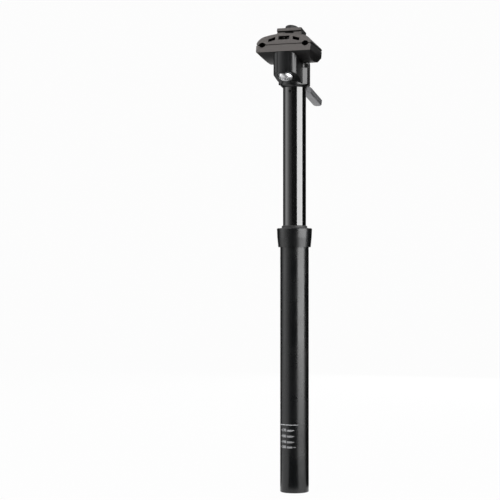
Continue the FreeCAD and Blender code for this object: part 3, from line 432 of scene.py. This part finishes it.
@dataclass
class RoundedParts:
    """The forged parts of the head, each a merged copy of its node with rounded edges, painted sheen and painted
    shade.

    Angles are in degrees, lengths in metres, areas in square metres. The reach round a fold is in edge widths.
    """

    wardrobe: Wardrobe
    segments: int = 3
    flat_within: float = 0.6
    sharp_over: float = 14.0
    crowded_under: float = 40.0
    settle_turns: int = 12
    fold_reach: float = 1.3
    least_fold: float = 1e-9
    joined_within: float = 2e-6
    sheen_within: float = 8.0
    shade_ray_start: float = 2e-5
    shade_reach: float = 0.016
    floor_clearance: float = 0.0008
    least_sheen_area: float = 4e-6
    head_top: float = 0.1655

    def copy_mesh(self, node: str) -> bpy.types.Mesh:
        """Copy a node's mesh, join its loose triangles and melt its flat faces together.

        Args:
            node: The CAD node.

        Returns:
            The copy.
        """
        shape = bmesh.new()
        shape.from_mesh(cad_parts[node].data)
        bmesh.ops.remove_doubles(shape, verts=shape.verts, dist=self.joined_within)
        within = math.radians(self.flat_within)
        bmesh.ops.dissolve_limit(shape, angle_limit=within, verts=shape.verts, edges=shape.edges)
        mesh = bpy.data.meshes.new(node + "_rounded")
        shape.to_mesh(mesh)
        shape.free()
        mesh.polygons.foreach_set("use_smooth", [True] * len(mesh.polygons))
        mesh.update()
        return mesh

    def skins(self, mesh: bpy.types.Mesh, facing: Point | None) -> None:
        """Sort faces into plain skin, painted sheen and painted shade.

        A face gets the painted sheen when it looks along or against the given direction, isn't a sliver of a round
        side, and has no walls on all four sides. It gets painted shade, a dull black for the shade in pockets, when it
        has, or when a line out of its middle, along its normal, meets the same piece again within the shade's reach.

        Args:
            mesh: The copied mesh, with one material for each skin.
            facing: The direction of the faces with painted sheen, or none for a piece without them.
        """
        count = len(mesh.polygons)
        normals, middles = np.zeros(count * 3), np.zeros(count * 3)
        mesh.polygons.foreach_get("normal", normals)
        mesh.polygons.foreach_get("center", middles)
        normals, middles = normals.reshape(-1, 3), middles.reshape(-1, 3)
        skin = np.full(count, Skin.TUMBLED.value)
        points = [vertex.co for vertex in mesh.vertices]
        tree = BVHTree.FromPolygons(points, [tuple(face.vertices) for face in mesh.polygons])
        starts = middles + normals * self.shade_ray_start
        for index in range(count):
            hit = tree.ray_cast(Vector(starts[index]), Vector(normals[index]), self.shade_reach)
            if hit[0] is not None:
                skin[index] = Skin.PAINTED_SHADE.value
        if facing:
            way = Vector(facing)
            around = [Vector((1, 0, 0)), Vector((-1, 0, 0)), way.cross((1, 0, 0)), -way.cross((1, 0, 0))]
            areas = np.zeros(count)
            mesh.polygons.foreach_get("area", areas)
            flat = np.abs(normals @ np.array(facing)) > math.cos(math.radians(self.sheen_within))
            flat &= areas > self.least_sheen_area
            for index in np.nonzero(flat)[0]:
                start = Vector(middles[index] + normals[index] * self.floor_clearance)
                walls = [tree.ray_cast(start, side, self.shade_reach)[0] for side in around]
                skin[index] = Skin.PAINTED_SHEEN.value if None in walls else Skin.PAINTED_SHADE.value
        mesh.polygons.foreach_set("material_index", skin)

    def split_outlines(self, mesh: bpy.types.Mesh) -> None:
        """Split faces with a hollow outline into full ones, so that a rounded edge can't fold them.

        Args:
            mesh: The copied mesh, after its skins are sorted.
        """
        shape = bmesh.new()
        shape.from_mesh(mesh)
        bmesh.ops.connect_verts_concave(shape, faces=[face for face in shape.faces if len(face.verts) > 4])
        shape.to_mesh(mesh)
        shape.free()

    def mark_edges(self, mesh: bpy.types.Mesh, fillets: bool, spared: set[int]) -> None:
        """Choose the edges to round: the sharp ones, but none that ends where two sharp edges meet at a fine angle.

        Without fillets, edges along inner corners are left sharp too.

        Args:
            mesh: The copied mesh. Chosen edges get a bevel weight of 1, and the other sharp edges stay sharp.
            fillets: Whether inner corners are rounded out.
            spared: Vertices whose edges stay sharp.
        """
        shape = bmesh.new()
        shape.from_mesh(mesh)
        weight = shape.edges.layers.float.get("bevel_weight_edge") or shape.edges.layers.float.new("bevel_weight_edge")
        sharp = {e for e in shape.edges if e.calc_face_angle(math.pi) > math.radians(self.sharp_over)}
        crowded = set()
        for vertex in shape.verts:
            ways = [(e.other_vert(vertex).co - vertex.co).normalized() for e in vertex.link_edges if e in sharp]
            for index, way in enumerate(ways):
                if any(way.dot(other) > math.cos(math.radians(self.crowded_under)) for other in ways[index + 1 :]):
                    crowded.add(vertex)
        shape.verts.ensure_lookup_table()
        crowded.update(shape.verts[index] for index in spared)
        for edge in sharp:
            rounded = crowded.isdisjoint(edge.verts) and (fillets or edge.is_convex)
            edge[weight] = 1.0 if rounded else 0.0
            edge.smooth = rounded
        shape.to_mesh(mesh)
        shape.free()

    def folds(self, piece: bpy.types.Object) -> np.ndarray:
        """Find where the rounding folds a face over itself: triangles that look against their own face.

        Args:
            piece: The rounded part.

        Returns:
            Both ends of the shortest side of each such triangle.
        """
        piece.update_tag()
        bpy.context.view_layer.update()
        rounded = piece.evaluated_get(bpy.context.evaluated_depsgraph_get())
        mesh = rounded.to_mesh()
        mesh.calc_loop_triangles()
        places = np.zeros(len(mesh.vertices) * 3)
        mesh.vertices.foreach_get("co", places)
        ways = np.zeros(len(mesh.polygons) * 3)
        mesh.polygons.foreach_get("normal", ways)
        corners = np.zeros(len(mesh.loop_triangles) * 3, int)
        mesh.loop_triangles.foreach_get("vertices", corners)
        owners = np.zeros(len(mesh.loop_triangles), int)
        mesh.loop_triangles.foreach_get("polygon_index", owners)
        rounded.to_mesh_clear()
        triangles = places.reshape(-1, 3)[corners.reshape(-1, 3)]
        area = np.cross(triangles[:, 1] - triangles[:, 0], triangles[:, 2] - triangles[:, 0]) / 2
        against = np.einsum("ij,ij->i", area, ways.reshape(-1, 3)[owners]) < -self.least_fold
        folded = triangles[against]
        sides = np.stack([folded, np.roll(folded, -1, axis=1)], axis=2)
        shortest = np.linalg.norm(sides[:, :, 0] - sides[:, :, 1], axis=2).argmin(axis=1)
        return sides[np.arange(len(folded)), shortest].reshape(-1, 3)

    def settle(self, piece: bpy.types.Object, forging: Forging) -> None:
        """Choose edges, look for folds and spare the corners near them, until the rounding folds no face.

        Args:
            piece: The part, with its bevel.
            forging: Its edge and corners.
        """
        spared: set[int] = set()
        for _ in range(self.settle_turns):
            self.mark_edges(piece.data, forging.fillets, spared)
            places = self.folds(piece)
            LOG.info("%s: %d folds, %d corners spared", piece.name, len(places) // 2, len(spared))
            if not len(places):
                break
            tree = KDTree(len(places))
            for index, place in enumerate(places):
                tree.insert(place, index)
            tree.balance()
            reach = forging.edge_mm / MM_PER_M * self.fold_reach
            spared |= {vertex.index for vertex in piece.data.vertices if tree.find(vertex.co)[2] < reach}

    def painted_shade_shank(self, mesh: bpy.types.Mesh) -> None:
        """Blacken the bolt's faces above its head, by the height of their middles: painted shade on the shank, which
        lies in the shade inside the head and clamp.

        Args:
            mesh: The bolt's copied mesh.
        """
        middles = np.zeros(len(mesh.polygons) * 3)
        mesh.polygons.foreach_get("center", middles)
        above = middles.reshape(-1, 3)[:, 2] > self.head_top
        mesh.polygons.foreach_set("material_index", np.where(above, Skin.PAINTED_SHADE.value, Skin.TUMBLED.value))

    def build_one(self, forging: Forging) -> bpy.types.Object:
        """Make one rounded part and put it in its node's place.

        Args:
            forging: Its node, body, slot, edge and the direction of its faces with painted sheen.

        Returns:
            The part.
        """
        mesh = self.copy_mesh(forging.node)
        finish = self.wardrobe.finishes[forging.node]
        plated = finish is CHROME
        # Slots: the finish, the grey of the painted sheen, and painted shade, which is black-oxide steel on the bolt's
        # shank.
        for skin in (finish, PAINTED_SHEEN_GREY, BLACKED_STEEL if plated else PAINTED_SHADE_BLACK):
            mesh.materials.append(self.wardrobe.material(skin))
        if plated:
            self.painted_shade_shank(mesh)
        else:
            self.skins(mesh, forging.facing)
        self.split_outlines(mesh)
        piece = bpy.data.objects.new(forging.node + "_rounded", mesh)
        bpy.context.scene.collection.objects.link(piece)
        bevel = piece.modifiers.new("rounded_edges", "BEVEL")
        bevel.width = forging.edge_mm / MM_PER_M
        bevel.segments = self.segments
        bevel.limit_method = "WEIGHT"
        bevel.use_clamp_overlap = False
        evened = piece.modifiers.new("even_flats", "WEIGHTED_NORMAL")
        evened.keep_sharp = True
        self.settle(piece, forging)
        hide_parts(forging.node)
        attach(piece, forging.body)
        LOG.info("%s: %s", piece.name, finish.name)
        return piece

    def build(self) -> list[bpy.types.Object]:
        """Make every rounded part.

        Returns:
            The parts.
        """
        return [self.build_one(forging) for forging in FORGINGS]


@dataclass
class TubeMarks:
    """Printed marks low on the tube: a ring that gives the least insertion, and a scale with plain numbers.

    Lengths are in metres, and angles in degrees from the tube's rear line towards +X. Each row has its height, its
    number and the angle from the number to its dashes.
    """

    wardrobe: Wardrobe
    tube_radius: float = 0.0136
    ink: float = 0.00004
    ring_height: float = -0.1677
    ring_width: float = 0.0007
    ring_from: float = -85.0
    ring_to: float = 37.0
    face: float = -11.0
    rows: tuple[tuple[float, str, float], ...] = (
        (-0.1728, "170 mm", 28.0),
        (-0.1784, "180 mm", 28.0),
        (-0.1838, "190 mm", 28.0),
        (-0.1886, "200 mm", 33.0),
    )
    figure_height: float = 0.0026
    letter_per_figure: float = 1.35
    boldness: float = 0.00007
    dash_length: float = 0.0021
    dash_width: float = 0.0005
    usual_dash_at: float = 28.0
    degrees_per_step: float = 2.0

    def wrapped(self, across: np.ndarray, height: np.ndarray, lift: float) -> np.ndarray:
        """Wrap flat ink round the tube: distance across turns into an angle of distance over radius.

        Args:
            across: Distance round the tube from its rear line, in metres.
            height: Height on the post.
            lift: Distance above the tube's skin.

        Returns:
            Points in the frame.
        """
        turn = across / self.tube_radius
        radius = self.tube_radius + lift
        return np.column_stack([radius * np.sin(turn), -radius * np.cos(turn), height])

    def band(self, name: str, start: float, end: float, height: float, width: float) -> bpy.types.Object:
        """Make a closed strip of ink from one angle to another: a grid of two sides by steps of 2 degrees.

        Args:
            name: Name of the piece.
            start: First angle from the rear line, towards +X, in degrees.
            end: Last angle.
            height: Height of the strip's middle.
            width: Height of the strip itself.

        Returns:
            The strip.
        """
        steps = max(2, int(abs(end - start) / self.degrees_per_step) + 1)
        angles = np.radians(np.linspace(start, end, steps)) * self.tube_radius
        rings = []
        for lift, shift in ((-self.ink, -1), (self.ink, -1), (self.ink, 1), (-self.ink, 1)):
            rings.append(self.wrapped(angles, np.full(steps, height + shift * width / 2), lift))
        points = np.concatenate(rings)
        index = np.arange(4 * steps).reshape(4, steps)
        faces = []
        for side in range(4):
            near, far = index[side], index[(side + 1) % 4]
            faces += np.column_stack([near[:-1], near[1:], far[1:], far[:-1]]).tolist()
        faces.append(index[:, 0].tolist())
        faces.append(index[::-1, -1].tolist())
        return new_piece(name, points, faces)

    def figures(self, name: str, words: str, height: float) -> bpy.types.Object:
        """Wrap a plain number round the tube.

        Args:
            name: Name of the piece.
            words: The number.
            height: Height of the figures' middle.

        Returns:
            The figures as a mesh.
        """
        curve = bpy.data.curves.new(name, "FONT")
        curve.body = words
        curve.size = self.figure_height * self.letter_per_figure
        curve.align_x = "CENTER"
        curve.align_y = "CENTER"
        curve.extrude = self.ink
        curve.offset = self.boldness
        curve.resolution_u = 3
        text = bpy.data.objects.new(name + "_flat", curve)
        bpy.context.scene.collection.objects.link(text)
        bpy.context.view_layer.update()
        mesh = bpy.data.meshes.new_from_object(text)
        bpy.data.objects.remove(text)
        flat = np.zeros(len(mesh.vertices) * 3)
        mesh.vertices.foreach_get("co", flat)
        flat = flat.reshape(-1, 3)
        across = flat[:, 0] + math.radians(self.face) * self.tube_radius
        points = self.wrapped(across, flat[:, 1] + height, 0.0)
        outward = points * (1, 1, 0) / self.tube_radius
        points = points + outward * flat[:, 2:3]
        mesh.vertices.foreach_set("co", points.ravel())
        mesh.update()
        piece = bpy.data.objects.new(name, mesh)
        bpy.context.scene.collection.objects.link(piece)
        return piece

    def build(self) -> list[bpy.types.Object]:
        """Build the ring and the scale, and ride them on the tube.

        Returns:
            The pieces.
        """
        ring = self.band("insertion_ring", self.ring_from, self.ring_to, self.ring_height, self.ring_width)
        pieces = [ring]
        for index, (height, words, dash_at) in enumerate(self.rows):
            pieces.append(self.figures("scale_figures_%d" % index, words, height))
            for side in (-1, 1):
                middle = self.face + side * dash_at
                half = math.degrees(self.dash_length / self.tube_radius) / 2 * dash_at / self.usual_dash_at
                name = "scale_dash_%d_%d" % (index, side + 1)
                pieces.append(self.band(name, middle - half, middle + half, height, self.dash_width))
        for piece in pieces:
            piece.data.materials.clear()
            piece.data.materials.append(self.wardrobe.material(PRINTED_GREY))
            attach(piece, "outer")
            LOG.info("%s: %s", piece.name, PRINTED_GREY.name)
        return pieces


@dataclass(frozen=True)
class Softbox:
    """One softbox: degrees to the right of the camera, metres, and radiance in white levels.

    It faces the post. Some light only matt surfaces or only glossy ones, as flags and cloths do in a studio.
    """

    name: str
    right: float
    reach: float
    height: float
    width: float
    tall: float
    radiance: float
    lights_matt: bool = True
    lights_gloss: bool = True


SOFTBOXES = (
    Softbox("right_strip", 54.5, 1.3, 0.05, 1.45, 1.3, 7.2, lights_matt=False),
    Softbox("fill", -45.0, 1.5, 0.35, 1.0, 1.0, 4.3, lights_gloss=False),
    Softbox("back_fill", 160.0, 1.5, 0.35, 1.0, 1.0, 4.3, lights_gloss=False),
    Softbox("overhead", 10.0, 0.9, 1.5, 0.9, 0.9, 3.0),
)

# Brightness of the graded reflector on the left, by degrees to the right of the camera.
GRADED_REFLECTOR = (
    (-132.0, 0.0),
    (-119.0, 0.12),
    (-107.0, 0.7),
    (-95.0, 1.5),
    (-85.0, 1.85),
    (-76.0, 1.45),
    (-66.0, 0.95),
    (-56.0, 0.55),
    (-46.0, 0.32),
    (-36.0, 0.16),
    (-24.0, 0.08),
)

# Brightness of the small card behind on the right, which only the head stands high enough to show.
END_CARD = ((118.0, 0.08), (134.0, 0.26), (148.0, 0.08))

# Sectors of black cloth on the floor, which darken what glossy upright sides show of it.
FLOOR_CLOTHS = ((-46.0, 32.0), (96.0, 161.0), (-161.0, -122.0))


@dataclass
class Studio:
    """Pale floor and backdrop, soft lights and the camera. Lengths are in metres, the camera's turn in degrees."""

    floor_height: float = -0.232
    turn: float = 22.5
    distance: float = 1.563
    eye_height: float = -0.015
    lens_mm: float = 118.5
    shift_x: float = -0.0890
    shift_y: float = 0.026
    near_edge: float = -9.0
    wall_reach: float = 3.0
    wall_bend: float = 0.8
    half_width: float = 9.0
    bend_points: int = 17
    # A softbox looks at the post at this share of its own height.
    aim_share: float = 0.3
    white_share: float = 0.965
    fill_light: float = 0.40
    seen_white: float = 0.98
    cloth_reach: float = 2.0
    cloth_start: float = 0.03
    cloth_top: float = 0.9
    cloth_lift: float = 0.002
    cloth_columns: int = 9
    ring_columns: int = 65
    ring_half: float = 160.0
    reflector_reach: float = 1.9
    reflector_columns: int = 54
    reflector_lift: float = 0.004
    reflector_top: float = 1.9
    card_low: float = 0.36
    card_high: float = 0.95

    def direction(self, right_of_camera: float) -> Vector:
        """Find a level direction from the post: the sine and the negative cosine of the turned angle.

        Args:
            right_of_camera: Degrees to the right of the camera as the camera sees it.

        Returns:
            The direction, one metre long.
        """
        angle = math.radians(self.turn + right_of_camera)
        return Vector((math.sin(angle), -math.cos(angle), 0.0))

    def camera(self) -> None:
        """Set the camera level at the post's height, turned with the photograph's angle."""
        data = bpy.data.cameras.new("camera")
        data.sensor_width = 36.0
        data.lens = self.lens_mm
        data.shift_x = self.shift_x
        data.shift_y = self.shift_y
        data.clip_end = 50.0
        camera = bpy.data.objects.new("camera", data)
        bpy.context.scene.collection.objects.link(camera)
        camera.location = self.direction(0.0) * self.distance + Vector((0, 0, self.eye_height))
        camera.rotation_euler = (math.radians(90), 0, math.radians(self.turn))
        bpy.context.scene.camera = camera

    def softbox(self, box: Softbox) -> None:
        """Hang a softbox that faces the post.

        Args:
            box: Its name, place, size and brightness.
        """
        data = bpy.data.lights.new(box.name, "AREA")
        data.shape = "RECTANGLE"
        data.size = box.width
        data.size_y = box.tall
        data.energy = box.radiance * math.pi * box.width * box.tall
        light = bpy.data.objects.new(box.name, data)
        bpy.context.scene.collection.objects.link(light)
        light.location = self.direction(box.right) * box.reach + Vector((0, 0, box.height))
        aim = Vector((0, 0, box.height * self.aim_share)) - light.location
        light.rotation_euler = aim.to_track_quat("-Z", "Y").to_euler()
        light.visible_diffuse = box.lights_matt
        light.visible_glossy = box.lights_gloss

    def floor(self) -> None:
        """Lay a pale floor that rises into a backdrop: a profile of floor, quarter round and wall, swept wide."""
        back = -self.direction(0.0)
        side = Vector((back.y, -back.x, 0.0))
        bend = np.radians(np.linspace(0, 90, self.bend_points))
        flat_end = self.wall_reach - self.wall_bend
        depth = np.concatenate([[self.near_edge], flat_end + self.wall_bend * np.sin(bend), [self.wall_reach]])
        rise = np.concatenate([[0.0], self.wall_bend * (1 - np.cos(bend)), [self.wall_reach]]) + self.floor_height
        points = []
        for edge in (-self.half_width, self.half_width):
            for d, z in zip(depth, rise):
                points.append(back * d + side * edge + Vector((0, 0, z)))
        count = len(depth)
        faces = [(i, i + 1, count + i + 1, count + i) for i in range(count - 1)]
        sweep = new_piece("floor_and_backdrop", np.array([tuple(p) for p in points]), faces)
        material = bpy.data.materials.new("pale paper sweep")
        material.use_nodes = True
        tree = material.node_tree
        tree.nodes.clear()
        diffuse = add_node(tree, "ShaderNodeBsdfDiffuse", inputs={"Color": linear("#d8d8d8")})
        white = add_node(tree, "ShaderNodeEmission", inputs={"Color": WHITE, "Strength": 1.0})
        share = add_node(
            tree,
            "ShaderNodeMath",
            {"operation": "MULTIPLY"},
            {0: self.seen(tree), 1: self.white_share},
        )
        mixed = add_node(
            tree,
            "ShaderNodeMixShader",
            inputs={0: share.outputs[0], 1: diffuse.outputs[0], 2: white.outputs[0]},
        )
        end = add_node(tree, "ShaderNodeOutputMaterial")
        tree.links.new(mixed.outputs[0], end.inputs["Surface"])
        sweep.data.materials.append(material)

    def seen(self, tree: bpy.types.NodeTree) -> bpy.types.NodeSocket:
        """Add the test for a ray that shows the background: from the camera, a reflection or through glass.

        Args:
            tree: Node tree that takes the test.

        Returns:
            Its output, 1 for such a ray.
        """
        path = add_node(tree, "ShaderNodeLightPath")
        first = add_node(
            tree,
            "ShaderNodeMath",
            {"operation": "MAXIMUM"},
            {0: path.outputs["Is Camera Ray"], 1: path.outputs["Is Glossy Ray"]},
        )
        second = add_node(
            tree,
            "ShaderNodeMath",
            {"operation": "MAXIMUM"},
            {0: first.outputs[0], 1: path.outputs["Is Transmission Ray"]},
        )
        return second.outputs[0]

    def ring_points(self, degrees: np.ndarray, radius: float, height: float) -> np.ndarray:
        """Find points on a level circle round the post: radius times the sine and the negative cosine.

        Args:
            degrees: Directions to the right of the camera.
            radius: Radius of the circle.
            height: Height of the circle.

        Returns:
            One row of X, Y and Z for each direction.
        """
        angles = np.radians(self.turn + degrees)
        return np.column_stack([radius * np.sin(angles), -radius * np.cos(angles), np.full(len(angles), height)])

    def hung(
        self, name: str, degrees: np.ndarray, near: tuple[float, float], far: tuple[float, float]
    ) -> bpy.types.Object:
        """Hang a sheet round the post between two circles, for reflections alone.

        Args:
            name: Name of the sheet.
            degrees: Directions of its columns, to the right of the camera.
            near: Radius and height of one edge.
            far: Radius and height of the other.

        Returns:
            The sheet, which the camera and matt surfaces don't see.
        """
        count = len(degrees)
        points = np.concatenate([self.ring_points(degrees, *near), self.ring_points(degrees, *far)])
        first = np.arange(count - 1)
        faces = np.column_stack([first, first + 1, first + 1 + count, first + count]).tolist()
        sheet = new_piece(name, points, faces)
        sheet.visible_camera = False
        sheet.visible_diffuse = False
        sheet.visible_shadow = False
        return sheet

    def flags(self) -> None:
        """Hang black cloth in a ring behind the lights and lay some on the floor, for glossy upright sides."""
        cloth = bpy.data.materials.new("black cloth")
        cloth.use_nodes = True
        surface = cloth.node_tree.nodes["Principled BSDF"]
        surface.inputs["Base Color"].default_value = linear("#030303")
        surface.inputs["Roughness"].default_value = 1.0
        surface.inputs["IOR"].default_value = 1.0
        low = self.floor_height + self.cloth_lift
        reach = self.cloth_reach
        spread = np.linspace(-self.ring_half, self.ring_half, self.ring_columns)
        sheets = [self.hung("black_cloth_ring", spread, (reach, low), (reach, self.cloth_top))]
        for index, (start, end) in enumerate(FLOOR_CLOTHS):
            spread = np.linspace(start, end, self.cloth_columns)
            sheets.append(self.hung("black_cloth_%d" % index, spread, (self.cloth_start, low), (reach, low)))
        for sheet in sheets:
            sheet.data.materials.append(cloth)

    def graded_reflector(self, name: str, grades: Sequence[tuple[float, float]], low: float, high: float) -> None:
        """Hang a reflector whose brightness changes from one direction to the next.

        Args:
            name: Name of the reflector.
            grades: Pairs of degrees to the right of the camera and brightness.
            low: Height of its lower edge.
            high: Height of its upper edge.
        """
        table = np.array(grades)
        degrees = np.linspace(table[0, 0], table[-1, 0], self.reflector_columns)
        sheet = self.hung(name, degrees, (self.reflector_reach, low), (self.reflector_reach, high))
        level = np.tile(np.interp(degrees, table[:, 0], table[:, 1]), 2)
        graded = sheet.data.attributes.new("graded", "FLOAT", "POINT")
        graded.data.foreach_set("value", level)
        material = bpy.data.materials.new(name)
        material.use_nodes = True
        tree = material.node_tree
        tree.nodes.clear()
        reader = add_node(tree, "ShaderNodeAttribute", {"attribute_name": "graded"})
        glow = add_node(
            tree,
            "ShaderNodeEmission",
            inputs={"Color": WHITE, "Strength": reader.outputs["Fac"]},
        )
        end = add_node(tree, "ShaderNodeOutputMaterial")
        tree.links.new(glow.outputs[0], end.inputs["Surface"])
        sheet.data.materials.append(material)

    def world(self) -> None:
        """Light the room: white to the camera and to glossy surfaces, a plain grey fill for the rest."""
        world = bpy.data.worlds.new("studio")
        bpy.context.scene.world = world
        world.use_nodes = True
        tree = world.node_tree
        tree.nodes.clear()
        strength = add_node(
            tree,
            "ShaderNodeMapRange",
            inputs={"Value": self.seen(tree), "To Min": self.fill_light, "To Max": self.seen_white},
        )
        sky = add_node(
            tree,
            "ShaderNodeBackground",
            inputs={"Color": WHITE, "Strength": strength.outputs["Result"]},
        )
        end = add_node(tree, "ShaderNodeOutputWorld")
        tree.links.new(sky.outputs[0], end.inputs["Surface"])

    def build(self) -> None:
        """Set up the whole studio."""
        self.camera()
        self.floor()
        self.flags()
        foot = self.floor_height + self.reflector_lift
        self.graded_reflector("graded_reflector", GRADED_REFLECTOR, foot, self.reflector_top)
        self.graded_reflector("end_card", END_CARD, self.card_low, self.card_high)
        self.world()
        for box in SOFTBOXES:
            self.softbox(box)
        bpy.context.scene.view_settings.view_transform = "Standard"


def main() -> None:
    """Build the studio, dress the nodes, add the rounded parts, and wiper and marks."""
    logging.basicConfig(level=logging.INFO, format="%(message)s")
    Studio().build()
    wardrobe = Wardrobe()
    wardrobe.dress()
    RoundedParts(wardrobe).build()
    WiperLip(wardrobe).build()
    TubeMarks(wardrobe).build()


if __name__ == "__main__":
    main()
